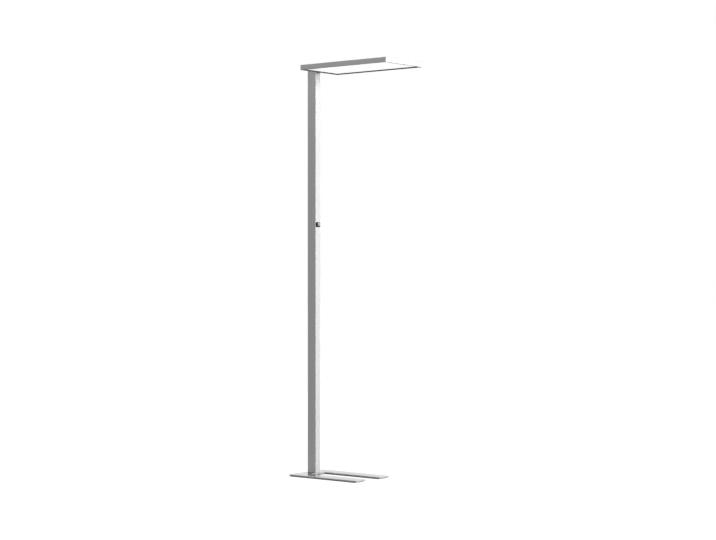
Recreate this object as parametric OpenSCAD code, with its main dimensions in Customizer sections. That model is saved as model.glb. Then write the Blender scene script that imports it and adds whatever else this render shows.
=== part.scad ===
// Office floor lamp: forked steel base, rectangular pole, flat cantilevered light panel.
// Millimetres. X runs along the base prongs and the panel, Y across, Z up.
// The origin is on the floor under the middle of the pole.

/* [Base] */
// Length of the base plate along the prongs
base_l = 405; // [380:1:440]
// Width of the base plate over both prongs
base_w = 250; // [230:1:300]
// Thickness of the steel base plate
base_t = 7.5; // [5.5:0.1:10]
// Plate left behind the back face of the pole
base_back = 21.5; // [16:0.5:40]
// Width of the gap between the prongs
slot_w = 104; // [80:1:130]
// Plate left between the front face of the pole and the gap
slot_wall = 1.5; // [1:0.5:20]
// Bevel along the upper edges of the plate
base_edge = 1.6; // [0.4:0.1:2.5]
// Thickness of the floor pad
pad_t = 3.5; // [0.8:0.1:4]
// How far the pad stays inside the plate's long sides and back
pad_inset = 2; // [1.5:0.5:6]
// How far the pad stays behind the tips of the prongs
pad_tip = 10; // [6:1:30]
// How far the pad stays behind the inner end of the gap
pad_slot = 5; // [3:0.5:5.5]
// Diameter of the bolts that hold the foot block
bolt_d = 6; // [5:0.5:6.5]
// Distance between the bolts along X
bolt_dx = 28; // [24:0.5:30]
// Distance between the bolts along Y
bolt_dy = 14; // [13:0.5:15]

/* [Pole] */
// Outside size of the pole along X
pole_x = 50; // [48:0.5:60]
// Outside size of the pole along Y
pole_y = 34; // [34:0.5:44]
// Wall thickness of the pole
pole_wall = 2; // [1.9:0.1:2.2]
// Rounding of the pole's outer corners
pole_r = 0.8; // [0.5:0.1:1.5]
// Thickness of the dark gasket under the pole's foot
gasket_t = 1; // [0.6:0.1:1.5]
// Height of the foot block inside the pole
foot_h = 40; // [34:1:48]
// Room between an inner block and the pole's inner faces
block_clear = 0.15; // [0.1:0.05:0.3]
// Height of the cord gland's middle above the floor
gland_z = 84; // [78:1:90]
// Thread diameter of the cord gland
gland_d = 12; // [11:0.5:13]
// Bore of the cord gland
gland_bore = 7; // [6:0.1:8]
// Diameter of the gland's outer flange
gland_flange = 18; // [17:0.5:21]

/* [Wiring] */
// Lower end of the wiring tray
tray_z = 104; // [102:1:110]
// Thickness of the wiring tray
tray_t = 1.5; // [1.2:0.1:2]
// Width of the wiring tray
tray_w = 22; // [18:0.5:24]
// Length of the driver case
driver_l = 330; // [280:1:360]
// Depth of the driver case
driver_d = 30; // [29.5:0.5:32]
// Width of the driver case
driver_w = 26; // [24:0.5:27]
// Height of the terminal block
term_h = 36; // [30:1:40]
// Depth of the terminal block
term_d = 16; // [14:0.5:20]
// Diameter of the lead to the light panel
lead_d = 5; // [4.4:0.1:5.2]
// Diameter of the control lead
ctl_d = 3.2; // [2.6:0.1:3.6]

/* [Control] */
// Height of the dimmer knob above the floor
knob_z = 1197; // [1000:1:1300]
// Diameter of the knob
knob_d = 15; // [14.5:0.5:20]
// Length of the knob
knob_l = 6; // [6:0.1:12]
// Travel of the knob when it is pressed
knob_press = 1.2; // [0.8:0.1:1.3]
// Width of the dark bezel under the knob
bezel_w = 31.6; // [26:0.1:33.6]
// Height of the dark bezel
bezel_h = 23.5; // [21:0.5:28]
// How far the bezel's middle lies below the knob's
bezel_drop = 1.5; // [0:0.5:4]
// Thickness of the bezel
bezel_t = 1.2; // [0.8:0.1:2.5]
// Corner rounding of the bezel
bezel_r = 5; // [2:0.5:6]
// Diameter of the dimmer shaft
shaft_d = 6; // [5:0.5:6]
// Radial running room of the shaft in its bushing
shaft_clear = 0.05; // [0.02:0.01:0.1]
// Depth of the dimmer case behind the pole's wall
dimmer_depth = 14; // [13:0.5:15]

/* [Head] */
// Height of the panel's lower rim above the floor
head_z = 1921; // [1700:1:2000]
// Length of the panel
head_l = 510; // [480:1:600]
// Width of the panel
head_w = 272; // [240:1:320]
// Thickness of the panel
head_h = 24; // [23.8:0.1:28]
// Gap between the pole and the panel, filled by the collar
head_gap = 7; // [3:0.5:10]
// Width of the lower rim, seen from below
rim_w = 4; // [3.5:0.5:6]
// Height of the lower rim under the diffuser
rim_h = 5.5; // [4:0.1:5.5]
// Thickness of the dark trim under the lower rim
trim_t = 1; // [0.6:0.1:1.2]
// Thickness of the frame's upright wall
frame_t = 2; // [1.8:0.1:2.4]
// Thickness of the diffuser plate
diff_t = 2; // [1.5:0.1:2.2]
// Thickness of the light guide
guide_t = 4; // [3.5:0.1:4.2]
// Thickness of the reflector sheet
refl_t = 0.4; // [0.3:0.05:0.5]
// Thickness of the back plate
back_t = 1.6; // [1.5:0.1:1.9]
// Thickness of the top cover
cover_t = 1.5; // [1.4:0.1:1.7]
// Thickness of the carrying arm
arm_t = 7; // [6:0.1:7.2]
// Width of the carrying arm
arm_w = 15; // [12:0.5:15.5]
// Length of the arm inside the panel
arm_in = 230; // [200:1:300]
// Room between loose plates and the frame's walls
plate_clear = 0.5; // [0.3:0.05:0.8]
// Side of the square corner blocks
corner = 14; // [12:0.5:16]
// Distance between neighbouring light chips
led_pitch = 16; // [14:0.5:24]

/* [Hidden] */
$fn = 48;
eps = 1;
hex_socket = 0.75;

// Base
base_x0 = -pole_x / 2 - base_back;
base_x1 = base_x0 + base_l;
slot_x0 = pole_x / 2 + slot_wall;
slot_edge = min(base_edge, slot_wall - 0.5);
edge_over = 0.4 * slot_edge;
plate_top = pad_t + base_t;
bolt_hd = bolt_d + 5;
bolt_hh = 3;
bolt_sunk = 0.3;
bolt_in = 20;
set_d = 5;

// Pole
pin_x = pole_x / 2 - pole_wall;
pin_y = pole_y / 2 - pole_wall;
wall_x = -pin_x;
gasket_in = 0.4;
gland_out = 4;
gland_in = 8;
nut_t = 4;
hole_clear = 0.1;

// Panel levels
rim_z = head_z + trim_t;
diff_z = head_z + rim_h;
trim_in = 0.4;
trim_lining = 0.8;
guide_z = diff_z + diff_t;
refl_z = guide_z + guide_t;
back_z = refl_z + refl_t;
arm_z = back_z + back_t;
head_top = head_z + head_h;
cover_z = head_top - cover_t;
head_x0 = pole_x / 2 + head_gap;
head_x1 = head_x0 + head_l;
cap_t = 2;
pole_top = head_top - cap_t;
plug_h = 40;
lead_up = lead_d / 2 + 1.1;
lead_hz = arm_z + lead_up;
lead_x = wall_x + 11;
lead_y = pin_y - lead_d / 2 - 2;
lead_room = 0.4;
lead_bend = 9;
arm_room = 0.3;
arm_screw_in = 30;
arm_screw_end = 20;
conn_in = 36;
conn_l = 30;
conn_w = 18;
conn_pitch = 8;
strip_up = 0.2;
strip_d = 1.4;
strip_lead_in = 4;
strip_lead_step = 16;
clip_first = 780;
clip_step = 290;
clip_h = 10;

// Wiring
tray_x = wall_x + tray_t;
term_z = tray_z + 14;
driver_z = term_z + term_h + 36;
driver_top = driver_z + driver_l;
tab_l = 10;
tab_t = 2;
tray_top = driver_top + tab_l + 34;

// Control
bezel_x = pole_x / 2 + bezel_t;
bezel_z = knob_z - bezel_drop;
nut_hex = 10;
dnut_t = 2;
bush_d = shaft_d + 2;
bush_x = bezel_x + dnut_t + 0.4;
knob_x = bezel_x + knob_press + 0.4;
knob_front = knob_x + knob_l;
knob_hollow = dnut_t + 0.4;
shaft_end = knob_front - 2;
face_t = 0.8;
face_gap = 0.05;
case_x = pin_x - dimmer_depth;
core_d = shaft_d + 3;
core_t = 2;
core_gap = 0.3;
core_room = core_t + knob_press + 1.8;
core_x = case_x + core_room;
board_t = 1.6;

// Light chips
side_y = head_w / 2 - frame_t;
board_y = 1;
chip_y = 2.2;
stack_y = side_y - board_y - chip_y - 0.4;
strip_x0 = head_x0 + frame_t + corner + 6;
strip_x1 = head_x1 - frame_t - corner - 6;
chip_n = floor((strip_x1 - strip_x0 - 8) / led_pitch);

module ridge_x(x0, x1, y, z, c) {
    translate([x0, y, z])
        rotate([45, 0, 0])
            translate([0, -c * sqrt(0.5), -c * sqrt(0.5)])
                cube([x1 - x0, c * sqrt(2), c * sqrt(2)]);
}

module ridge_y(y0, y1, x, z, c) {
    translate([x, y0, z])
        rotate([0, 45, 0])
            translate([-c * sqrt(0.5), 0, -c * sqrt(0.5)])
                cube([c * sqrt(2), y1 - y0, c * sqrt(2)]);
}

module box(x0, x1, y0, y1, z0, z1) {
    translate([x0, y0, z0])
        cube([x1 - x0, y1 - y0, z1 - z0]);
}

module rod_x(x0, x1, y, z, d) {
    translate([x0, y, z])
        rotate([0, 90, 0])
            cylinder(h = x1 - x0, d = d);
}

module rod_y(y0, y1, x, z, d) {
    translate([x, y0, z])
        rotate([-90, 0, 0])
            cylinder(h = y1 - y0, d = d);
}

module rod_z(z0, z1, x, y, d) {
    translate([x, y, z0])
        cylinder(h = z1 - z0, d = d);
}

// Countersunk screw with a hex socket: the head's flat face at the origin, the shank towards +Z
module csk(hd, hh, d, l) {
    difference() {
        union() {
            cylinder(h = hh, d1 = hd, d2 = d);
            translate([0, 0, hh / 2])
                cylinder(h = l - hh / 2, d = d);
        }
        translate([0, 0, -eps])
            cylinder(h = eps + 0.8 * hh, d = hex_socket * d, $fn = 6);
    }
}

// Cutter for the seat of a countersunk screw
module csk_cut(hd, hh, d, l, c) {
    union() {
        translate([0, 0, -eps])
            cylinder(h = eps, d = hd + 2 * c);
        cylinder(h = hh, d1 = hd + 2 * c, d2 = d + 2 * c);
        cylinder(h = l, d = d + 2 * c);
    }
}

module base_screw_places() {
    for (x = [-bolt_dx / 2, bolt_dx / 2])
        for (y = [-bolt_dy / 2, bolt_dy / 2])
            translate([x, y, pad_t + bolt_sunk])
                children();
}

module set_screw_places() {
    for (z = [plate_top + 12, plate_top + foot_h - 12])
        translate([-pole_x / 2, 0, z])
            rotate([0, 90, 0])
                children();
}

module plug_screw_places() {
    for (z = [arm_z - plug_h + 6, arm_z - plug_h + 16])
        translate([-pole_x / 2, 0, z])
            rotate([0, 90, 0])
                children();
}

module tray_screw_places() {
    for (z = [tray_z + 6, tray_top - 12])
        translate([-pole_x / 2, 0, z])
            rotate([0, 90, 0])
                children();
}

module corner_places() {
    for (x = [head_x0 + frame_t, head_x1 - frame_t - corner])
        for (y = [-side_y, side_y - corner])
            translate([x, y, 0])
                children();
}

module cover_screw_places() {
    corner_places()
        translate([corner / 2, corner / 2, head_top])
            rotate([180, 0, 0])
                children();
}

module arm_screw_places() {
    for (i = [0:3])
        translate([head_x0 + arm_screw_in + i * (arm_in - arm_screw_in - arm_screw_end) / 3, 0, back_z])
            children();
}

// Base

module base_plate() {
    color("lightsteelblue")
        difference() {
            box(base_x0, base_x1, -base_w / 2, base_w / 2, pad_t, plate_top);
            box(slot_x0, base_x1 + eps, -slot_w / 2, slot_w / 2, pad_t - eps, plate_top + eps);
            ridge_x(base_x0 - eps, base_x1 + eps, -base_w / 2, plate_top, base_edge);
            ridge_x(base_x0 - eps, base_x1 + eps, base_w / 2, plate_top, base_edge);
            ridge_y(-base_w / 2 - eps, base_w / 2 + eps, base_x0, plate_top, base_edge);
            ridge_y(-base_w / 2 - eps, base_w / 2 + eps, base_x1, plate_top, base_edge);
            ridge_x(slot_x0 - edge_over, base_x1 + eps, -slot_w / 2, plate_top, base_edge);
            ridge_x(slot_x0 - edge_over, base_x1 + eps, slot_w / 2, plate_top, base_edge);
            ridge_y(-slot_w / 2 - edge_over, slot_w / 2 + edge_over, slot_x0, plate_top, slot_edge);
            base_screw_places()
                csk_cut(bolt_hd, bolt_hh, bolt_d, base_t + eps, hole_clear);
        }
}

module floor_pad() {
    color("dimgray")
        difference() {
            box(base_x0 + pad_inset, base_x1 - pad_tip,
                -base_w / 2 + pad_inset, base_w / 2 - pad_inset, 0, pad_t);
            box(slot_x0 - pad_slot, base_x1 + eps,
                -slot_w / 2 - pad_inset, slot_w / 2 + pad_inset, -eps, pad_t + eps);
            for (x = [-bolt_dx / 2, bolt_dx / 2])
                for (y = [-bolt_dy / 2, bolt_dy / 2])
                    rod_z(-eps, pad_t + eps, x, y, bolt_hd + 1);
        }
}

module foot_block() {
    color("slategray")
        difference() {
            box(-pin_x + block_clear, pin_x - block_clear,
                -pin_y + block_clear, pin_y - block_clear, plate_top, plate_top + foot_h);
            for (x = [-bolt_dx / 2, bolt_dx / 2])
                for (y = [-bolt_dy / 2, bolt_dy / 2])
                    rod_z(plate_top - eps, plate_top + bolt_in + 2, x, y, bolt_d + 2 * hole_clear);
            set_screw_places()
                cylinder(h = 12, d = set_d + 2 * hole_clear);
        }
}

module base_bolts() {
    color("gray")
        base_screw_places()
            csk(bolt_hd, bolt_hh, bolt_d, base_t - bolt_sunk + bolt_in);
}

module pole_set_screws() {
    color("gray")
        set_screw_places()
            difference() {
                cylinder(h = 10, d = set_d);
                translate([0, 0, -eps])
                    cylinder(h = 2.5 + eps, d = 2.5, $fn = 6);
            }
}

// Pole

module foot_gasket() {
    color("dimgray")
        difference() {
            pole_bar(-gasket_in, plate_top, plate_top + gasket_t);
            box(-pin_x, pin_x, -pin_y, pin_y, plate_top - eps, plate_top + gasket_t + eps);
        }
}

module pole_bar(grow, z0, z1) {
    union() {
        box(-pole_x / 2 - grow, pole_x / 2 + grow, -pole_y / 2 + pole_r, pole_y / 2 - pole_r, z0, z1);
        box(-pole_x / 2 + pole_r, pole_x / 2 - pole_r, -pole_y / 2 - grow, pole_y / 2 + grow, z0, z1);
        for (x = [-pole_x / 2 + pole_r, pole_x / 2 - pole_r])
            for (y = [-pole_y / 2 + pole_r, pole_y / 2 - pole_r])
                rod_z(z0, z1, x, y, 2 * (pole_r + grow));
    }
}

module passage(x0, x1) {
    union() {
        box(x0, x1, -arm_w / 2 - arm_room, arm_w / 2 + arm_room, arm_z - arm_room, arm_z + arm_t + arm_room);
        rod_x(x0, x1, lead_y, lead_hz, lead_d + 2 * lead_room);
    }
}

module pole_tube() {
    color("silver")
        difference() {
            pole_bar(0, plate_top + gasket_t, pole_top);
            box(-pin_x, pin_x, -pin_y, pin_y, plate_top, pole_top + eps);
            passage(0, pole_x / 2 + eps);
            set_screw_places()
                translate([0, 0, -eps])
                    cylinder(h = 6, d = set_d + 2 * hole_clear);
            plug_screw_places()
                csk_cut(8, 1.7, 5, 6, hole_clear);
            tray_screw_places()
                csk_cut(7, 1.6, 4, 6, hole_clear);
            rod_x(-pole_x / 2 - eps, -pole_x / 2 + 6, 0, gland_z, gland_d + 2 * hole_clear);
            rod_x(pole_x / 2 - 6, pole_x / 2 + eps, 0, knob_z, bush_d + 2 * hole_clear);
        }
}

module pole_top_cap() {
    color("darkgray")
        difference() {
            union() {
                pole_bar(0, pole_top, head_top);
                box(-pin_x + block_clear, pin_x - block_clear,
                    -pin_y + block_clear, pin_y - block_clear, arm_z + arm_t, pole_top);
            }
            translate([0, 0, head_top])
                rotate([180, 0, 0])
                    csk_cut(8, 2.2, 4, 12, hole_clear);
        }
}

module cap_screw() {
    color("gray")
        translate([0, 0, head_top])
            rotate([180, 0, 0])
                csk(8, 2.2, 4, 9);
}

module gland_body() {
    color("dimgray")
        difference() {
            union() {
                rod_x(-pole_x / 2 - gland_out, -pole_x / 2, 0, gland_z, gland_flange);
                rod_x(-pole_x / 2 - gland_out, wall_x + gland_in, 0, gland_z, gland_d);
            }
            rod_x(-pole_x / 2 - gland_out - eps, wall_x + gland_in + eps, 0, gland_z, gland_bore);
        }
}

module gland_nut() {
    color("gray")
        difference() {
            translate([wall_x, 0, gland_z])
                rotate([0, 90, 0])
                    cylinder(h = nut_t, d = gland_d + 7, $fn = 6);
            rod_x(wall_x - eps, wall_x + nut_t + eps, 0, gland_z, gland_d + 2 * face_gap);
        }
}

module wiring_tray() {
    color("lightgray")
        difference() {
            box(wall_x, tray_x, -tray_w / 2, tray_w / 2, tray_z, tray_top);
            tray_screw_places()
                cylinder(h = 12, d = 4 + 2 * hole_clear);
            for (z = [driver_z - tab_l / 2, driver_top + tab_l / 2])
                rod_x(wall_x - eps, tray_x + eps, 0, z, 3 + 2 * hole_clear);
        }
}

module tray_screws() {
    color("gray")
        tray_screw_places()
            csk(7, 1.6, 4, 8);
}

module terminal_block() {
    color("whitesmoke")
        difference() {
            box(tray_x, tray_x + term_d, -tray_w / 2, tray_w / 2, term_z, term_z + term_h);
            for (y = [-tray_w / 3, 0, tray_w / 3])
                for (z = [term_z + 9, term_z + term_h - 9])
                    rod_x(tray_x + term_d - 5, tray_x + term_d + eps, y, z, 4);
            for (y = [-tray_w / 3, 0, tray_w / 3])
                rod_z(term_z - eps, term_z + 12, tray_x + 6, y, 3);
        }
}

module driver_lead() {
    color("dimgray")
        rod_z(term_z + term_h, driver_z, tray_x + term_d / 2, 0, lead_d);
}

module led_driver() {
    color("white")
        difference() {
            union() {
                box(tray_x, tray_x + driver_d, -driver_w / 2, driver_w / 2, driver_z, driver_top);
                box(tray_x, tray_x + tab_t, -driver_w / 2 + 3, driver_w / 2 - 3,
                    driver_z - tab_l, driver_top + tab_l);
            }
            for (z = [driver_z - tab_l / 2, driver_top + tab_l / 2])
                rod_x(tray_x - eps, tray_x + tab_t + eps, 0, z, 3 + 2 * hole_clear);
        }
}

module driver_screws() {
    color("gray")
        for (z = [driver_z - tab_l / 2, driver_top + tab_l / 2]) {
            rod_x(wall_x, tray_x + tab_t + 0.1, 0, z, 3);
            rod_x(tray_x + tab_t, tray_x + tab_t + 2, 0, z, 5.6);
        }
}

module led_lead() {
    color("dimgray")
        union() {
            rod_z(driver_top, lead_hz - lead_bend, lead_x, lead_y, lead_d);
            translate([lead_x + lead_bend, lead_y, lead_hz - lead_bend])
                rotate([90, 0, 0])
                    rotate([0, 0, 90])
                        rotate_extrude(angle = 90)
                            translate([lead_bend, 0])
                                circle(d = lead_d);
            rod_x(lead_x + lead_bend, head_x0 + conn_in, lead_y, lead_hz, lead_d);
        }
}

module lead_clips() {
    color("white")
        for (i = [0:3])
            translate([0, 0, clip_first + i * clip_step])
                difference() {
                    box(wall_x, lead_x + lead_d / 2 + 2, lead_y - lead_d / 2 - 1.6,
                        lead_y + lead_d / 2 + 1.6, 0, clip_h);
                    rod_z(-eps, clip_h + eps, lead_x, lead_y, lead_d + 2 * face_gap);
                }
}

// Control

module control_lead() {
    color("dimgray")
        rod_z(driver_top, knob_z - 5, case_x - board_t - ctl_d / 2, 0, ctl_d);
}

module control_bezel() {
    color("black")
        difference() {
            union() {
                box(pole_x / 2, bezel_x, -bezel_w / 2 + bezel_r, bezel_w / 2 - bezel_r,
                    bezel_z - bezel_h / 2, bezel_z + bezel_h / 2);
                box(pole_x / 2, bezel_x, -bezel_w / 2, bezel_w / 2,
                    bezel_z - bezel_h / 2 + bezel_r, bezel_z + bezel_h / 2 - bezel_r);
                for (y = [-bezel_w / 2 + bezel_r, bezel_w / 2 - bezel_r])
                    for (z = [bezel_z - bezel_h / 2 + bezel_r, bezel_z + bezel_h / 2 - bezel_r])
                        rod_x(pole_x / 2, bezel_x, y, z, 2 * bezel_r);
            }
            rod_x(pole_x / 2 - eps, bezel_x + eps, 0, knob_z, bush_d + 2 * hole_clear);
        }
}

module dimmer_body() {
    color("slategray")
        difference() {
            union() {
                box(case_x, pin_x, -9, 9, knob_z - 9, knob_z + 9);
                rod_x(pin_x - 1, bush_x, 0, knob_z, bush_d);
            }
            rod_x(case_x - eps, core_x, 0, knob_z, core_d + 2 * core_gap);
            rod_x(case_x, bush_x + eps, 0, knob_z, shaft_d + 2 * shaft_clear);
        }
}

module dimmer_nut() {
    color("gray")
        difference() {
            translate([bezel_x, 0, knob_z])
                rotate([0, 90, 0])
                    cylinder(h = dnut_t, d = nut_hex + 1, $fn = 6);
            rod_x(bezel_x - eps, bezel_x + dnut_t + eps, 0, knob_z, bush_d + 2 * face_gap);
        }
}

module dimmer_board() {
    color("seagreen")
        box(case_x - board_t, case_x, -10, 10, knob_z - 20, knob_z + 12);
}

module push_core() {
    color("white")
        rod_x(core_x - core_gap - core_t, core_x - core_gap, 0, knob_z, core_d);
}

module dimmer_shaft() {
    color("gainsboro")
        rod_x(core_x, shaft_end, 0, knob_z, shaft_d);
}

module dimmer_knob() {
    color("darkgray")
        difference() {
            union() {
                rod_x(knob_x, knob_front - 0.6, 0, knob_z, knob_d);
                translate([knob_front - 0.6, 0, knob_z])
                    rotate([0, 90, 0])
                        cylinder(h = 0.6, d1 = knob_d, d2 = knob_d - 1.2);
            }
            rod_x(knob_x - eps, knob_x + knob_hollow, 0, knob_z, knob_d - 2.6);
            rod_x(knob_x, shaft_end, 0, knob_z, shaft_d + 2 * face_gap);
            rod_x(knob_front - face_t, knob_front + eps, 0, knob_z, knob_d - 3);
        }
}

module knob_face() {
    color("silver")
        rod_x(knob_front - face_t, knob_front - 0.1, 0, knob_z, knob_d - 3 - 2 * face_gap);
}

// Neck

module arm_plug() {
    color("slategray")
        difference() {
            box(-pin_x + block_clear, pin_x - block_clear,
                -pin_y + block_clear, pin_y - block_clear, arm_z - plug_h, arm_z);
            box(lead_x - lead_d / 2 - lead_room, lead_x + lead_bend + lead_d,
                lead_y - lead_d / 2 - lead_room, pin_y + eps, arm_z - plug_h - eps, arm_z + eps);
            box(lead_x, pin_x + eps, lead_y - lead_d / 2 - lead_room,
                pin_y + eps, lead_hz - lead_d / 2 - lead_room, arm_z + eps);
            plug_screw_places()
                cylinder(h = 17, d = 5 + 2 * hole_clear);
            for (x = [-13, 13])
                rod_z(arm_z - 18, arm_z + eps, x, 0, 5 + 2 * hole_clear);
        }
}

module plug_screws() {
    color("gray")
        plug_screw_places()
            csk(8, 1.7, 5, 11);
}

module head_arm() {
    color("slategray")
        difference() {
            box(-pin_x + 0.5, head_x0 + arm_in, -arm_w / 2, arm_w / 2, arm_z, arm_z + arm_t);
            for (x = [-13, 13])
                translate([x, 0, arm_z + arm_t])
                    rotate([180, 0, 0])
                        csk_cut(10, 2.8, 5, arm_t + eps, hole_clear);
            rod_z(arm_z - eps, arm_z + arm_t + eps, 0, 0, 4 + 2 * hole_clear);
            arm_screw_places()
                cylinder(h = back_t + arm_t - 1, d = 4 + 2 * hole_clear);
        }
}

module arm_bolts() {
    color("gray")
        for (x = [-13, 13])
            translate([x, 0, arm_z + arm_t])
                rotate([180, 0, 0])
                    csk(10, 2.8, 5, arm_t + 14);
}

module neck_collar() {
    color("black")
        difference() {
            box(pole_x / 2, head_x0, -pin_y, pin_y, head_z + 1, head_top - 2.2);
            passage(pole_x / 2 - eps, head_x0 + eps);
        }
}

// Panel

module long_side(s) {
    union() {
        box(head_x0, head_x1, min(s * head_w / 2, s * side_y), max(s * head_w / 2, s * side_y),
            rim_z, cover_z);
        box(head_x0, head_x1, min(s * head_w / 2, s * (head_w / 2 - rim_w)),
            max(s * head_w / 2, s * (head_w / 2 - rim_w)), rim_z, diff_z);
    }
}

module short_side(x_out, x_wall, x_rim) {
    union() {
        box(min(x_out, x_wall), max(x_out, x_wall), -side_y, side_y, diff_z, cover_z);
        box(min(x_out, x_rim), max(x_out, x_rim), -head_w / 2 + rim_w, head_w / 2 - rim_w,
            rim_z, diff_z);
    }
}

module frame_near() {
    color("silver")
        long_side(-1);
}

module frame_far() {
    color("silver")
        long_side(1);
}

module frame_inner() {
    color("silver")
        difference() {
            short_side(head_x0, head_x0 + frame_t, head_x0 + rim_w);
            passage(head_x0 - eps, head_x0 + frame_t + eps);
        }
}

module frame_outer() {
    color("silver")
        short_side(head_x1, head_x1 - frame_t, head_x1 - rim_w);
}

module corner_blocks() {
    color("lightgray")
        corner_places()
            difference() {
                translate([0, 0, arm_z])
                    cube([corner, corner, cover_z - arm_z]);
                translate([corner / 2, corner / 2, cover_z - 8])
                    cylinder(h = 9, d = 3 + 2 * hole_clear);
            }
}

module stack_plate(z0, z1, inset) {
    box(head_x0 + frame_t + inset, head_x1 - frame_t - inset, -stack_y, stack_y, z0, z1);
}

module back_plate() {
    color("gainsboro")
        difference() {
            stack_plate(back_z, arm_z, plate_clear);
            arm_screw_places()
                csk_cut(7, 1.3, 4, back_t + eps, hole_clear);
        }
}

module arm_screws() {
    color("gray")
        arm_screw_places()
            csk(7, 1.3, 4, back_t + arm_t - 1.5);
}

module reflector() {
    color("white")
        stack_plate(refl_z, back_z, plate_clear);
}

module light_guide() {
    color("azure")
        stack_plate(guide_z, refl_z, plate_clear);
}

module led_boards() {
    color("seagreen")
        for (s = [-1, 1])
            box(strip_x0, strip_x1, min(s * side_y, s * (side_y - board_y)),
                max(s * side_y, s * (side_y - board_y)), guide_z, cover_z - 0.3);
}

module led_chips() {
    color("khaki")
        for (s = [-1, 1])
            for (i = [0:chip_n])
                translate([strip_x0 + 4 + i * led_pitch, s * (side_y - board_y - chip_y / 2),
                    guide_z + guide_t / 2])
                    cube([3, chip_y, 2.6], center = true);
}

module head_connector() {
    color("whitesmoke")
        difference() {
            box(head_x0 + conn_in, head_x0 + conn_in + conn_l,
                arm_w / 2 + 0.5, arm_w / 2 + 0.5 + conn_w, arm_z, arm_z + arm_t + strip_up);
            for (i = [-1:1])
                rod_z(arm_z + arm_t - 3, arm_z + arm_t + 2,
                    head_x0 + conn_in + conn_l / 2 + i * conn_pitch, arm_w / 2 + 0.5 + conn_w / 2, 3.2);
        }
}

module strip_leads() {
    color("firebrick")
        for (i = [1:2])
            translate([head_x0 + conn_in + i * strip_lead_in, 0,
                arm_z + arm_t + strip_up + strip_d / 2]) {
                rod_y(-side_y + board_y, arm_w / 2 + 2.5, 0, 0, strip_d);
                rod_y(arm_w / 2 + 2.5, side_y - board_y, strip_lead_step, 0, strip_d);
            }
}

module diffuser() {
    color("white")
        box(head_x0 + frame_t + plate_clear, head_x1 - frame_t - plate_clear,
            -side_y + plate_clear, side_y - plate_clear, diff_z, guide_z);
}

module trim_bar(inset, z0, z1) {
    box(head_x0 + inset, head_x1 - inset, -head_w / 2 + inset, head_w / 2 - inset, z0, z1);
}

module rim_trim() {
    color("dimgray")
        difference() {
            union() {
                trim_bar(trim_in, head_z, rim_z);
                trim_bar(rim_w, rim_z, diff_z);
            }
            trim_bar(rim_w + trim_lining, head_z - eps, diff_z + eps);
        }
}

module top_cover() {
    color("silver")
        difference() {
            box(head_x0, head_x1, -head_w / 2, head_w / 2, cover_z, head_top);
            ridge_x(head_x0 - eps, head_x1 + eps, -head_w / 2, head_top, 0.5);
            ridge_x(head_x0 - eps, head_x1 + eps, head_w / 2, head_top, 0.5);
            ridge_y(-head_w / 2 - eps, head_w / 2 + eps, head_x0, head_top, 0.5);
            ridge_y(-head_w / 2 - eps, head_w / 2 + eps, head_x1, head_top, 0.5);
            cover_screw_places()
                csk_cut(5.6, 1.2, 3, cover_t + eps, hole_clear);
        }
}

module cover_screws() {
    color("gray")
        cover_screw_places()
            csk(5.6, 1.2, 3, cover_t + 6);
}

base_plate();
floor_pad();
foot_block();
base_bolts();
pole_set_screws();
foot_gasket();
pole_tube();
pole_top_cap();
cap_screw();
gland_body();
gland_nut();
wiring_tray();
tray_screws();
terminal_block();
driver_lead();
led_driver();
driver_screws();
led_lead();
lead_clips();
control_lead();
control_bezel();
dimmer_body();
dimmer_nut();
dimmer_board();
push_core();
dimmer_shaft();
dimmer_knob();
knob_face();
arm_plug();
plug_screws();
head_arm();
arm_bolts();
neck_collar();
frame_near();
frame_far();
frame_inner();
frame_outer();
corner_blocks();
back_plate();
arm_screws();
reflector();
light_guide();
led_boards();
led_chips();
head_connector();
strip_leads();
diffuser();
rim_trim();
top_cover();
cover_screws();
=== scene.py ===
"""Looks of the office floor lamp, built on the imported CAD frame. Metres, Z up."""
import math

import bmesh
import bpy
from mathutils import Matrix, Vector


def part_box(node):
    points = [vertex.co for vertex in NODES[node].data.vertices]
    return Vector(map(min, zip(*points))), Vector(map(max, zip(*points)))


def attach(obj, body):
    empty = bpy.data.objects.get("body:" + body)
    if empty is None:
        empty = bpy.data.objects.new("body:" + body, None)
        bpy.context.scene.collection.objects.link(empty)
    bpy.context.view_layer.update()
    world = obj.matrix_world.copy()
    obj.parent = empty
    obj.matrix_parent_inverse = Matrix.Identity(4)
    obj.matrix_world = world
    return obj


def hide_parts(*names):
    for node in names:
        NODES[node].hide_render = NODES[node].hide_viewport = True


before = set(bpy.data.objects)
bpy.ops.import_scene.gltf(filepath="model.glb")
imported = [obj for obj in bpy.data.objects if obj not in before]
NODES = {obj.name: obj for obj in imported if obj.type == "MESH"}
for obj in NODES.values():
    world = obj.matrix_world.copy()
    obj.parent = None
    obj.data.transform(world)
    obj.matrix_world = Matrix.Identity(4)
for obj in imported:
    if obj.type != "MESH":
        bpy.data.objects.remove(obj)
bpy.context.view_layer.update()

# ---------------------------------------------------------------- camera

# Fitted to the straight edges in the photo. Angles are in degrees, and the pitch is upwards.
PHOTO_W = 716
FOCAL_PX = 1723.4
SENSOR = 36.0
CAM_AT = (5.3333, -6.2880, 0.9898)
CAM_AZ = 38.839
CAM_PITCH = -0.074
CLIP_NEAR, CLIP_FAR = 0.05, 100

cam_data = bpy.data.cameras.new("cam")
cam_data.sensor_fit = "HORIZONTAL"
cam_data.sensor_width = SENSOR
cam_data.lens = FOCAL_PX * SENSOR / PHOTO_W
cam_data.clip_start = CLIP_NEAR
cam_data.clip_end = CLIP_FAR
cam = bpy.data.objects.new("cam", cam_data)
cam.location = CAM_AT
cam.rotation_euler = (math.radians(90 + CAM_PITCH), 0, math.radians(CAM_AZ))
bpy.context.scene.collection.objects.link(cam)
bpy.context.scene.camera = cam
bpy.context.scene.view_settings.view_transform = "Standard"

# ---------------------------------------------------------------- shader helpers


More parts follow.
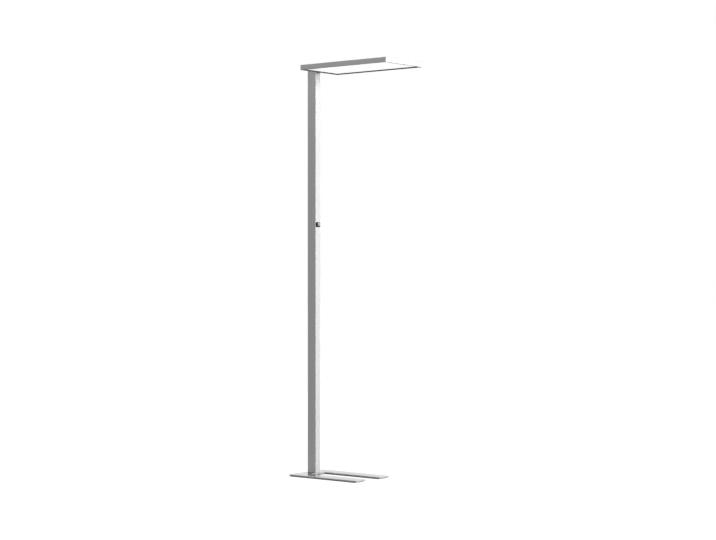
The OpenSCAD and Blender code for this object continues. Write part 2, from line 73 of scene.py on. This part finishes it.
class Graph:
    """Makes one material's nodes. Texture scales are in cycles per metre."""

    def __init__(self, name):
        self.mat = bpy.data.materials.new(name)
        self.mat.use_nodes = True
        self.tree = self.mat.node_tree
        self.tree.nodes.clear()
        self.out = self.add("ShaderNodeOutputMaterial")
        self.coord = self.add("ShaderNodeTexCoord").outputs["Object"]

    def add(self, kind, **props):
        node = self.tree.nodes.new(kind)
        for key, value in props.items():
            setattr(node, key, value)
        return node

    def link(self, start, end):
        self.tree.links.new(start, end)

    def stretched(self, scale):
        node = self.add("ShaderNodeMapping")
        node.inputs["Scale"].default_value = scale
        self.link(self.coord, node.inputs["Vector"])
        return node.outputs["Vector"]

    def noise(self, scale, detail=3.0, rough=0.5, vector=None):
        node = self.add("ShaderNodeTexNoise")
        node.inputs["Scale"].default_value = scale
        node.inputs["Detail"].default_value = detail
        node.inputs["Roughness"].default_value = rough
        self.link(vector or self.coord, node.inputs["Vector"])
        return node.outputs["Fac"]

    def spread(self, value, low, high, at=(0.3, 0.7)):
        """Maps at[0]..at[1] of a value to low..high, and holds the ends."""
        node = self.add("ShaderNodeMapRange")
        node.inputs["From Min"].default_value = at[0]
        node.inputs["From Max"].default_value = at[1]
        node.inputs["To Min"].default_value = low
        node.inputs["To Max"].default_value = high
        self.link(value, node.inputs["Value"])
        return node.outputs["Result"]

    def tint(self, value, dark, light, at=(0.35, 0.65)):
        """Maps at[0]..at[1] of a value to dark..light colours."""
        node = self.add("ShaderNodeValToRGB")
        node.color_ramp.elements[0].position = at[0]
        node.color_ramp.elements[1].position = at[1]
        node.color_ramp.elements[0].color = (*dark, 1)
        node.color_ramp.elements[1].color = (*light, 1)
        self.link(value, node.inputs["Fac"])
        return node.outputs["Color"]

    def calc(self, operation, a, b):
        node = self.add("ShaderNodeMath", operation=operation)
        for socket, value in zip(node.inputs, (a, b)):
            if isinstance(value, (int, float)):
                socket.default_value = value
            else:
                self.link(value, socket)
        return node.outputs["Value"]

    def blend(self, a, b, share_a):
        """The weighted sum of two textures."""
        part_a = self.calc("MULTIPLY", a, share_a)
        part_b = self.calc("MULTIPLY", b, round(1 - share_a, 6))
        return self.calc("ADD", part_a, part_b)

    def mix_colour(self, share, a, b):
        node = self.add("ShaderNodeMixRGB")
        for socket, value in zip(node.inputs, (share, a, b)):
            self.link(value, socket)
        return node.outputs["Color"]

    def mix_value(self, share, a, b):
        gap = self.calc("SUBTRACT", b, a)
        return self.calc("ADD", a, self.calc("MULTIPLY", gap, share))

    def facing_up(self, at):
        """0 on walls and undersides, 1 on faces that look up."""
        axes = self.add("ShaderNodeSeparateXYZ")
        self.link(self.add("ShaderNodeNewGeometry").outputs["Normal"], axes.inputs["Vector"])
        return self.spread(axes.outputs["Z"], low=0.0, high=1.0, at=at)

    def bump(self, height, strength, distance, below=None):
        node = self.add("ShaderNodeBump")
        node.inputs["Strength"].default_value = strength
        node.inputs["Distance"].default_value = distance
        self.link(height, node.inputs["Height"])
        if below is not None:
            self.link(below, node.inputs["Normal"])
        return node.outputs["Normal"]

    def surface(self, metallic=0.0, **sockets):
        node = self.add("ShaderNodeBsdfPrincipled")
        sockets["Metallic"] = metallic
        for key, value in sockets.items():
            socket = node.inputs[key.replace("_", " ")]
            if isinstance(value, bpy.types.NodeSocket):
                self.link(value, socket)
            else:
                socket.default_value = value
        self.link(node.outputs["BSDF"], self.out.inputs["Surface"])


def grey(v, warm=0.0):
    return (v * (1 + warm), v, v * (1 - warm))


# ---------------------------------------------------------------- finishes

# The whole range of a value, and two ranges of roughness
WHOLE = (0.0, 1.0)
SATIN = (0.36, 0.46)
RUBBED = (0.22, 0.32)
# Noise scales across and along a brushed grain
GRAIN_ACROSS, GRAIN_ALONG = 900.0, 6.0


def satin_aluminium(name, level, along, rough=SATIN, metallic=0.15):
    """Fine-brushed, clear anodised aluminium. along is the axis of the grain."""
    graph = Graph(name)
    scale = [GRAIN_ACROSS] * 3
    scale["XYZ".index(along)] = GRAIN_ALONG
    grain = graph.noise(scale=1.0, detail=2.0, rough=0.6, vector=graph.stretched(scale))
    cloud = graph.noise(scale=5.0, detail=3.0, rough=0.5)
    speck = graph.noise(scale=2600.0, detail=1.0, rough=0.5)
    both = graph.blend(grain, cloud, share_a=0.6)
    coat = graph.bump(speck, strength=0.04, distance=0.0001)
    graph.surface(
        metallic,
        Base_Color=graph.tint(both, grey(level * 0.975, 0.002), grey(level * 1.02, -0.002)),
        Roughness=graph.spread(both, *rough),
        Normal=graph.bump(grain, strength=0.05, distance=0.0002, below=coat),
    )
    return graph.mat


def worn_edge(name, level, bright):
    """A rubbed edge: the anodised skin, with patches worn through to brighter metal."""
    graph = Graph(name)
    patch = graph.noise(scale=38.0, detail=5.0, rough=0.65)
    fine = graph.noise(scale=1500.0, detail=2.0, rough=0.6)
    rubbed = graph.spread(patch, low=0.0, high=1.0, at=(0.46, 0.62))
    graph.surface(
        graph.spread(rubbed, low=0.15, high=0.7, at=WHOLE),
        Base_Color=graph.tint(rubbed, grey(level), grey(bright), at=WHOLE),
        Roughness=graph.mix_value(rubbed, graph.spread(fine, *SATIN), graph.spread(fine, *RUBBED)),
        Normal=graph.bump(fine, strength=0.06, distance=0.0001),
    )
    return graph.mat


def polished_steel(name, top, edge, bevel_highlight_tone):
    """Steel plate with a polished upper face, ground bevels and satin edges. The bevels' lighter
    tone is a painted highlight, and the sides' darker tone is painted shade.
    """
    graph = Graph(name)
    lines = graph.stretched((14.0, 1500.0, 1500.0))
    brush = graph.noise(scale=1.0, detail=3.0, rough=0.6, vector=lines)
    haze = graph.noise(scale=7.0, detail=4.0, rough=0.6)
    pits = graph.noise(scale=2200.0, detail=2.0, rough=0.6)
    up = graph.facing_up(at=(0.8, 0.95))
    sloped = graph.facing_up(at=(0.3, 0.6))
    mixed = graph.blend(brush, haze, share_a=0.3)
    # The side tone is darkened as painted shade, and the bevel tone is lightened as a painted
    # highlight.
    painted_shade_sides = graph.tint(pits, grey(edge * 0.9), grey(edge * 1.06))
    ground = graph.tint(pits, grey(bevel_highlight_tone * 0.95), grey(bevel_highlight_tone * 1.03))
    polish = graph.tint(haze, grey(top * 0.985), grey(top * 1.01))
    side_rough = graph.spread(pits, low=0.4, high=0.55)
    top_rough = graph.spread(mixed, low=0.06, high=0.13)
    graph.surface(
        graph.spread(sloped, low=0.25, high=1.0, at=WHOLE),
        Base_Color=graph.mix_colour(up, graph.mix_colour(sloped, painted_shade_sides, ground), polish),
        Roughness=graph.mix_value(up, side_rough, top_rough),
        Normal=graph.bump(brush, strength=0.02, distance=0.0001),
    )
    return graph.mat


def plated(name, level, rough=0.32):
    """Zinc-plated or turned steel for screws, nuts and inner parts."""
    graph = Graph(name)
    spots = graph.noise(scale=700.0, detail=3.0, rough=0.6)
    cloud = graph.noise(scale=60.0, detail=2.0, rough=0.5)
    graph.surface(
        1.0,
        Base_Color=graph.tint(cloud, grey(level * 0.9), grey(level * 1.05)),
        Roughness=graph.spread(spots, low=rough - 0.06, high=rough + 0.1),
        Normal=graph.bump(spots, strength=0.08, distance=0.0002),
    )
    return graph.mat


def spun_face(name, level):
    """Turned metal disc: fine rings about the knob's axis."""
    graph = Graph(name)
    flat = graph.add("ShaderNodeMapping")
    flat.inputs["Location"].default_value = (0.0, 0.0, -KNOB_Z)
    flat.inputs["Scale"].default_value = (0.0, 1.0, 1.0)
    graph.link(graph.coord, flat.inputs["Vector"])
    away = graph.add("ShaderNodeVectorMath", operation="LENGTH")
    graph.link(flat.outputs["Vector"], away.inputs[0])
    rings = graph.add("ShaderNodeTexNoise", noise_dimensions="1D")
    rings.inputs["Scale"].default_value = 5200.0
    rings.inputs["Detail"].default_value = 2.0
    graph.link(away.outputs["Value"], rings.inputs["W"])
    ring = rings.outputs["Fac"]
    graph.surface(
        0.9,
        Base_Color=graph.tint(ring, grey(level * 0.93), grey(level * 1.05)),
        Roughness=graph.spread(ring, low=0.2, high=0.32),
        Normal=graph.bump(ring, strength=0.25, distance=0.00005),
    )
    return graph.mat


def moulded(name, rgb, rough=0.5, grain=1800.0, depth=0.12, sheen=0.5):
    """Moulded plastic or rubber with a fine spark-eroded grain."""
    graph = Graph(name)
    pits = graph.noise(scale=grain, detail=2.0, rough=0.6)
    cloud = graph.noise(scale=18.0, detail=3.0, rough=0.5)
    dark = tuple(c * 0.9 for c in rgb)
    light = tuple(min(1.0, c * 1.08) for c in rgb)
    graph.surface(
        0.0,
        Base_Color=graph.tint(cloud, dark, light),
        Roughness=graph.spread(pits, low=rough - 0.07, high=rough + 0.08),
        Specular_IOR_Level=sheen,
        Normal=graph.bump(pits, strength=depth, distance=0.0003),
    )
    return graph.mat


def opal(name, glow):
    """Opal plate with a fine prism pattern, lit from behind: cloudy, with its own glow."""
    prisms_per_metre = 400.0
    graph = Graph(name)
    frost = graph.noise(scale=3500.0, detail=1.0, rough=0.5)
    cloud = graph.noise(scale=9.0, detail=2.0, rough=0.5)
    cells = graph.add("ShaderNodeTexVoronoi", feature="F1", distance="CHEBYCHEV")
    cells.inputs["Scale"].default_value = 1.0
    cells.inputs["Randomness"].default_value = 0.0
    graph.link(graph.stretched([prisms_per_metre] * 3), cells.inputs["Vector"])
    prisms = graph.bump(cells.outputs["Distance"], strength=0.35, distance=0.0004)
    graph.surface(
        0.0,
        Base_Color=graph.tint(cloud, (0.9, 0.9, 0.895), (0.93, 0.93, 0.925)),
        Roughness=graph.spread(frost, low=0.48, high=0.6),
        Normal=graph.bump(frost, strength=0.08, distance=0.0002, below=prisms),
        Emission_Color=(1.0, 0.995, 0.985, 1),
        Emission_Strength=glow,
    )
    return graph.mat


def clear_sheet(name):
    """Acrylic light guide, with its printed dots as a change of gloss."""
    graph = Graph(name)
    dots = graph.noise(scale=900.0, detail=1.0, rough=0.5)
    graph.surface(
        0.0,
        Base_Color=graph.tint(graph.noise(scale=20.0), (0.86, 0.9, 0.92), (0.9, 0.94, 0.96)),
        Roughness=graph.spread(dots, low=0.06, high=0.2),
    )
    return graph.mat


# Heights of the knob's and the cord gland's middle lines, in metres
KNOB_Z = 1.197
GLAND_Z = 0.084

SILVER = 0.48
FINISH = {
    "pole": satin_aluminium("pole_satin", SILVER, "Z"),
    "frame_x": satin_aluminium("panel_satin_x", SILVER, "X"),
    "frame_y": satin_aluminium("panel_satin_y", SILVER, "Y"),
    "worn_silver": worn_edge("worn_silver_edge", SILVER, bright=0.6),
    "raw": satin_aluminium("mill_aluminium", 0.72, "X", rough=(0.4, 0.55), metallic=0.8),
    "knob": satin_aluminium("knob_turned", 0.4, "X", rough=(0.34, 0.42), metallic=0.6),
    # The base's bevel tone is a painted highlight, and its edge tone is painted shade.
    "base": polished_steel("base_steel", top=0.42, edge=0.36, bevel_highlight_tone=0.62),
    "steel": plated("plated_steel", 0.55),
    "shaft": plated("bright_shaft", 0.75, rough=0.2),
    "black": moulded("black_moulded", (0.028, 0.028, 0.03), rough=0.46),
    "rubber": moulded("pad_rubber", (0.022, 0.022, 0.023), rough=0.8, grain=1200.0, depth=0.2),
    "lead": moulded("lead_jacket", (0.05, 0.05, 0.052), rough=0.42, grain=900.0, depth=0.06),
    "red": moulded("red_lead", (0.45, 0.05, 0.04), rough=0.4, grain=900.0, depth=0.05),
    "white": moulded("white_moulded", (0.82, 0.82, 0.8), rough=0.45),
    "board": moulded("board_mask", (0.03, 0.22, 0.1), rough=0.3, grain=600.0, depth=0.05),
    "chip": moulded("chip_phosphor", (0.85, 0.74, 0.32), rough=0.35, grain=2500.0, depth=0.05),
    "guide": clear_sheet("light_guide_acrylic"),
    "opal": opal("opal_diffuser", glow=0.6),
    "bezel": moulded("bezel_black", (0.01, 0.01, 0.011), rough=0.55, sheen=0.08),
    # Dark trim in the rim's recess: a dark joint, and its near-black tone is also painted shade of
    # the recess and the pole's shadow.
    "trim": moulded("trim_grey", (0.05, 0.05, 0.051), rough=0.55, sheen=0.3),
    "knob_face": spun_face("knob_spun_face", 0.42),
    "mark": moulded("mark_paint", (0.03, 0.03, 0.032), rough=0.5, grain=2600.0, depth=0.05),
}

# floor_pad, foot_gasket and neck_collar are dark parts at joints, and their dark tone is also
# painted shade of the gap under the plate, the pole's foot and the panel's neck.
NODE_FINISH = {
    "base_plate": "base", "floor_pad": "rubber", "foot_block": "steel", "base_bolts": "steel",
    "pole_set_screws": "steel", "foot_gasket": "rubber", "pole_tube": "pole",
    "pole_top_cap": "frame_y", "cap_screw": "steel", "gland_body": "black",
    "gland_nut": "black", "wiring_tray": "steel", "tray_screws": "steel",
    "terminal_block": "white", "driver_lead": "lead", "led_driver": "white",
    "driver_screws": "steel", "led_lead": "lead", "lead_clips": "white",
    "control_lead": "lead", "control_bezel": "bezel", "dimmer_body": "black",
    "dimmer_nut": "steel", "dimmer_board": "board", "push_core": "white",
    "dimmer_shaft": "shaft", "dimmer_knob": "knob", "knob_face": "knob_face",
    "arm_plug": "steel", "plug_screws": "steel", "head_arm": "steel", "arm_bolts": "steel",
    "neck_collar": "black", "frame_near": "frame_x", "frame_far": "frame_x",
    "frame_inner": "frame_y", "frame_outer": "frame_y", "corner_blocks": "raw",
    "back_plate": "raw", "arm_screws": "steel", "reflector": "white",
    "light_guide": "guide", "led_boards": "board", "led_chips": "chip",
    "head_connector": "white", "strip_leads": "red", "diffuser": "opal",
    "rim_trim": "trim", "top_cover": "frame_x", "cover_screws": "steel",
}

# Width of the softened edges, and the finish that shows where they are worn bright
EDGES = {
    "pole_tube": (0.0004, "worn_silver"), "pole_top_cap": (0.0004, "worn_silver"),
    "frame_near": (0.0003, "worn_silver"), "frame_far": (0.0003, "worn_silver"),
    "frame_inner": (0.0003, "worn_silver"), "frame_outer": (0.0003, "worn_silver"),
    "top_cover": (0.0003, "worn_silver"), "base_plate": (0.0003, None),
    "control_bezel": (0.0004, None), "neck_collar": (0.0005, None),
    "foot_gasket": (0.0002, None), "rim_trim": (0.0002, None),
}
# Points nearer than this are joined, and edges that turn by more than this are rounded
WELD_GAP = 0.000002
SOFT_FROM = math.radians(40)


def soften(obj, width, worn):
    """Rounds the edges. The frame's meshes are split at them, so they are welded first."""
    weld = obj.modifiers.new("joined", "WELD")
    weld.merge_threshold = WELD_GAP
    soft = obj.modifiers.new("edge", "BEVEL")
    soft.width = width
    soft.segments = 2
    soft.limit_method = "ANGLE"
    soft.angle_limit = SOFT_FROM
    if worn:
        obj.data.materials.append(FINISH[worn])
        soft.material = 1
    even = obj.modifiers.new("even", "WEIGHTED_NORMAL")
    even.keep_sharp = False


for node_name, obj in NODES.items():
    obj.data.materials.clear()
    obj.data.materials.append(FINISH[NODE_FINISH[node_name]])
    if node_name in EDGES:
        soften(obj, *EDGES[node_name])

# ---------------------------------------------------------------- added pieces

# Edges that turn by more than this stay sharp
SHARP_FROM = math.radians(32)
# Millimetres in a metre
MM = 1000


def linked_object(name, bm):
    """Turns a bmesh into an object in the scene."""
    bmesh.ops.recalc_face_normals(bm, faces=bm.faces)
    mesh = bpy.data.meshes.new(name)
    bm.to_mesh(mesh)
    bm.free()
    obj = bpy.data.objects.new(name, mesh)
    bpy.context.scene.collection.objects.link(obj)
    return obj


def turned(name, z, profile, steps, ribs=0, depth=0.0, ribbed=()):
    """A solid of revolution about a line along X at height z.

    profile is a closed loop of (x, r) in metres; r = 0 closes on the axis.
    ribs flutes of the given depth are cut into the profile points in ribbed.
    """
    bm = bmesh.new()
    loops = []
    for i, (x, r) in enumerate(profile):
        if r == 0.0:
            loops.append([bm.verts.new((x, 0.0, z))])
            continue
        ring = []
        for k in range(steps):
            angle = 2 * math.pi * k / steps
            here = r
            if i in ribbed:
                here -= depth * (0.5 - 0.5 * math.cos(ribs * angle))
            side, up = here * math.sin(angle), here * math.cos(angle)
            ring.append(bm.verts.new((x, side, z + up)))
        loops.append(ring)
    for i, ring in enumerate(loops):
        other = loops[(i + 1) % len(loops)]
        if len(ring) == 1 and len(other) == 1:
            continue
        for k in range(steps):
            after = (k + 1) % steps
            if len(ring) == 1:
                bm.faces.new((ring[0], other[k], other[after]))
            elif len(other) == 1:
                bm.faces.new((ring[after], ring[k], other[0]))
            else:
                bm.faces.new((ring[after], ring[k], other[k], other[after]))
    obj = linked_object(name, bm)
    obj.data.shade_smooth()
    obj.data.set_sharp_from_angle(angle=SHARP_FROM)
    return obj


def rounded_bar(name, x0, x1, y, z0, z1, r):
    """An upright bar with round ends and a drafted front, on a face that looks along +X."""
    end_steps = 8
    shoulder_at = 0.6
    draft_y, draft_z = 0.86, 0.96
    bm = bmesh.new()
    outline = []
    for centre, turn in ((z1 - r, 0.0), (z0 + r, math.pi)):
        for k in range(end_steps + 1):
            angle = turn - math.pi / 2 + math.pi * k / end_steps
            outline.append((y + r * math.sin(angle), centre + r * math.cos(angle)))
    mid_z = (z0 + z1) / 2
    shoulder_x = x0 + shoulder_at * (x1 - x0)
    back = [bm.verts.new((x0, py, pz)) for py, pz in outline]
    shoulder = [bm.verts.new((shoulder_x, py, pz)) for py, pz in outline]
    front = [
        bm.verts.new((x1, y + draft_y * (py - y), mid_z + draft_z * (pz - mid_z)))
        for py, pz in outline
    ]
    for k in range(len(outline)):
        after = (k + 1) % len(outline)
        bm.faces.new((back[k], back[after], shoulder[after], shoulder[k]))
        bm.faces.new((shoulder[k], shoulder[after], front[after], front[k]))
    bm.faces.new(front)
    bm.faces.new(back[::-1])
    return linked_object(name, bm)


def mm(points):
    return [(x / MM, r / MM) for x, r in points]


def placed(obj, body, finish, replaced=()):
    obj.data.materials.append(FINISH[finish])
    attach(obj, body)
    if replaced:
        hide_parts(*replaced)


# The knob's sizes in mm, taken from the CAD knob that it replaces
knob_low, knob_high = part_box("dimmer_knob")
KNOB_BACK, KNOB_FRONT = knob_low[0] * MM, knob_high[0] * MM
KNOB_R = (knob_high[1] - knob_low[1]) / 2 * MM
HOLLOW_R = KNOB_R - 1.3
SEAT_R = KNOB_R - 1.5
SEAT_X = KNOB_FRONT - 0.8
WEB_BACK = KNOB_BACK + 2.4
SHAFT_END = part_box("dimmer_shaft")[1][0] * MM
SHAFT_HOLE_R = 3.05
knob_grip = turned(
    "knob_grip",
    KNOB_Z,
    mm([
        (KNOB_BACK, HOLLOW_R), (KNOB_BACK, KNOB_R - 0.35), (KNOB_BACK + 0.2, KNOB_R - 0.1),
        (KNOB_BACK + 0.5, KNOB_R), (KNOB_BACK + 0.9, KNOB_R),
        (KNOB_BACK + 1.05, KNOB_R), (KNOB_FRONT - 1.35, KNOB_R),
        (KNOB_FRONT - 1.2, KNOB_R), (KNOB_FRONT - 0.6, KNOB_R),
        (KNOB_FRONT - 0.3, KNOB_R - 0.12), (KNOB_FRONT - 0.05, KNOB_R - 0.45),
        (KNOB_FRONT, KNOB_R - 0.7), (KNOB_FRONT, SEAT_R + 0.25),
        (KNOB_FRONT - 0.2, SEAT_R + 0.02), (SEAT_X, SEAT_R), (SEAT_X, 0.0),
        (SHAFT_END, 0.0), (SHAFT_END, SHAFT_HOLE_R), (WEB_BACK, SHAFT_HOLE_R),
        (WEB_BACK, HOLLOW_R),
    ]),
    steps=240,
    ribs=60,
    depth=0.0003,
    ribbed=(5, 6),
)
placed(knob_grip, "knob", "knob", ["dimmer_knob"])

# The index mark stands on the knob's face and stays behind the knob's rim
MARK_BACK, MARK_FRONT = 0.00015, 0.00004
MARK_FROM, MARK_TO = 0.0024, 0.0054
knob_mark = rounded_bar(
    "knob_mark",
    knob_high[0] - MARK_BACK,
    knob_high[0] - MARK_FRONT,
    y=0.0,
    z0=KNOB_Z + MARK_FROM,
    z1=KNOB_Z + MARK_TO,
    r=0.0004,
)
placed(knob_mark, "knob", "mark")

# The gland's sizes in mm. Its points give the distance out of the pole's back wall, and the radius.
WALL_X = -25.0
TAIL_END, MOUTH_FLOOR, SEAL_FLOOR = -10.0, 1.0, 1.1
BORE_R, MOUTH_R = 3.55, 4.6
NECK_R, FLANGE_R = 6.0, 9.0
CREST_R, ROOT_R = 5.95, 5.6
THREAD_FROM, THREAD_PITCH, THREAD_FLANK = -2.1, 1.0, 0.45
THREAD_TURNS = 8


def from_wall(points):
    """Turns (distance out of the wall, radius) in mm into (x, r) in metres."""
    return mm([(WALL_X - out, radius) for out, radius in points])


thread = []
for k in range(THREAD_TURNS):
    crest = THREAD_FROM - k * THREAD_PITCH
    thread += [(crest, CREST_R), (crest - THREAD_FLANK, ROOT_R)]
gland_shell = turned(
    "gland_shell",
    GLAND_Z,
    from_wall([
        (0.0, NECK_R), (0.0, FLANGE_R - 0.2), (0.25, FLANGE_R), (0.5, FLANGE_R), (0.7, FLANGE_R),
        (2.3, FLANGE_R), (2.5, 8.8), (2.9, 8.35), (3.5, 7.3), (3.9, 6.1), (4.0, 5.4), (3.95, 4.9),
        (3.7, 4.7), (MOUTH_FLOOR, MOUTH_R), (MOUTH_FLOOR, BORE_R), (TAIL_END, BORE_R),
        (TAIL_END, ROOT_R),
    ] + thread[::-1]),
    steps=144,
    ribs=24,
    depth=0.0005,
    ribbed=(4, 5),
)
placed(gland_shell, "lamp", "black", ["gland_body"])
gland_seal = turned(
    "gland_seal",
    GLAND_Z,
    from_wall([
        (SEAL_FLOOR, 4.58), (3.2, 4.62), (3.45, 4.5), (3.55, 4.2), (3.45, 3.85), (3.2, 3.62),
        (2.9, 3.52), (SEAL_FLOOR, 3.52),
    ]),
    steps=72,
)
placed(gland_seal, "lamp", "rubber")

# ---------------------------------------------------------------- stage


def camera_or_mirror(tree):
    """1 for rays from the camera, in mirrors and through glass; 0 for rays that light things."""
    path = tree.nodes.new("ShaderNodeLightPath")
    total = path.outputs["Is Camera Ray"]
    for kind in ("Is Glossy Ray", "Is Transmission Ray"):
        larger = tree.nodes.new("ShaderNodeMath")
        larger.operation = "MAXIMUM"
        tree.links.new(total, larger.inputs[0])
        tree.links.new(path.outputs[kind], larger.inputs[1])
        total = larger.outputs["Value"]
    return total


# Half the floor's width, and how far it lies below z = 0
FLOOR = 30.0
FLOOR_DROP = 0.0002
floor_mesh = bpy.data.meshes.new("floor")
floor_mesh.from_pydata(
    [(-FLOOR, -FLOOR, 0), (FLOOR, -FLOOR, 0), (FLOOR, FLOOR, 0), (-FLOOR, FLOOR, 0)],
    [],
    [(0, 1, 2, 3)],
)
floor = bpy.data.objects.new("floor", floor_mesh)
bpy.context.scene.collection.objects.link(floor)
floor.location.z = -FLOOR_DROP

# Seen floor: a glow that reaches white far off, plus a shade that keeps the lamp's shadow.
# Floor as a source of bounced light: a plain matt grey.
FLOOR_GLOW = 0.86
FLOOR_SHADE = 0.24
FLOOR_MATT = 0.29
GLOW_FROM, GLOW_TO = 1.5, 5.0
ground = Graph("pale_floor")
matt = ground.add("ShaderNodeBsdfDiffuse")
mottle = ground.noise(scale=3.0)
ground.link(ground.tint(mottle, grey(FLOOR_MATT), grey(FLOOR_MATT + 0.02)), matt.inputs["Color"])
shade = ground.add("ShaderNodeBsdfDiffuse")
shade.inputs["Color"].default_value = (*grey(FLOOR_SHADE), 1)
glow = ground.add("ShaderNodeEmission")
reach = ground.add("ShaderNodeVectorMath", operation="LENGTH")
ground.link(ground.coord, reach.inputs[0])
far_glow = ground.spread(reach.outputs["Value"], low=FLOOR_GLOW, high=1.0, at=(GLOW_FROM, GLOW_TO))
ground.link(far_glow, glow.inputs["Strength"])
lit = ground.add("ShaderNodeAddShader")
ground.link(shade.outputs["BSDF"], lit.inputs[0])
ground.link(glow.outputs["Emission"], lit.inputs[1])
pick = ground.add("ShaderNodeMixShader")
ground.link(camera_or_mirror(ground.tree), pick.inputs["Fac"])
ground.link(matt.outputs["BSDF"], pick.inputs[1])
ground.link(lit.outputs["Shader"], pick.inputs[2])
ground.link(pick.outputs["Shader"], ground.out.inputs["Surface"])
floor_mesh.materials.append(ground.mat)

# The world's strength as a light, and as it is seen
AMBIENT = 0.17
WHITE = 1.0
world = bpy.data.worlds.new("studio")
bpy.context.scene.world = world
world.use_nodes = True
sky_tree = world.node_tree
sky_tree.nodes.clear()
sky_pick = sky_tree.nodes.new("ShaderNodeMixShader")
sky_tree.links.new(camera_or_mirror(sky_tree), sky_pick.inputs["Fac"])
for slot, strength in ((1, AMBIENT), (2, WHITE)):
    sky = sky_tree.nodes.new("ShaderNodeBackground")
    sky.inputs["Color"].default_value = (1, 1, 1, 1)
    sky.inputs["Strength"].default_value = strength
    sky_tree.links.new(sky.outputs["Background"], sky_pick.inputs[slot])
sky_out = sky_tree.nodes.new("ShaderNodeOutputWorld")
sky_tree.links.new(sky_pick.outputs["Shader"], sky_out.inputs["Surface"])


def soft_lamp(name, at, toward, size, power, in_mirrors=True):
    data = bpy.data.lights.new(name, "AREA")
    data.shape = "RECTANGLE"
    data.size, data.size_y = size
    data.energy = power
    lamp = bpy.data.objects.new(name, data)
    lamp.location = at
    lamp.rotation_euler = (Vector(toward) - Vector(at)).to_track_quat("-Z", "Y").to_euler()
    lamp.visible_camera = False
    lamp.visible_glossy = in_mirrors
    bpy.context.scene.collection.objects.link(lamp)


soft_lamp("key_right", (4.6, 0.8, 2.16), toward=(0, 0, 1.3), size=(3.0, 1.0), power=354)
soft_lamp("fill_front", (-1.0, -2.7, 3.5), toward=(0, 0, 1.8), size=(2.0, 1.0), power=26)
soft_lamp("top_soft", (-0.6, 0.6, 5.2), toward=(0.1, 0, 1.9), size=(2.4, 2.4), power=40)
soft_lamp(
    "back_left", (-4.2, 2.6, 2.6), toward=(0, 0, 1.4), size=(2.4, 1.6), power=110,
    in_mirrors=False,
)
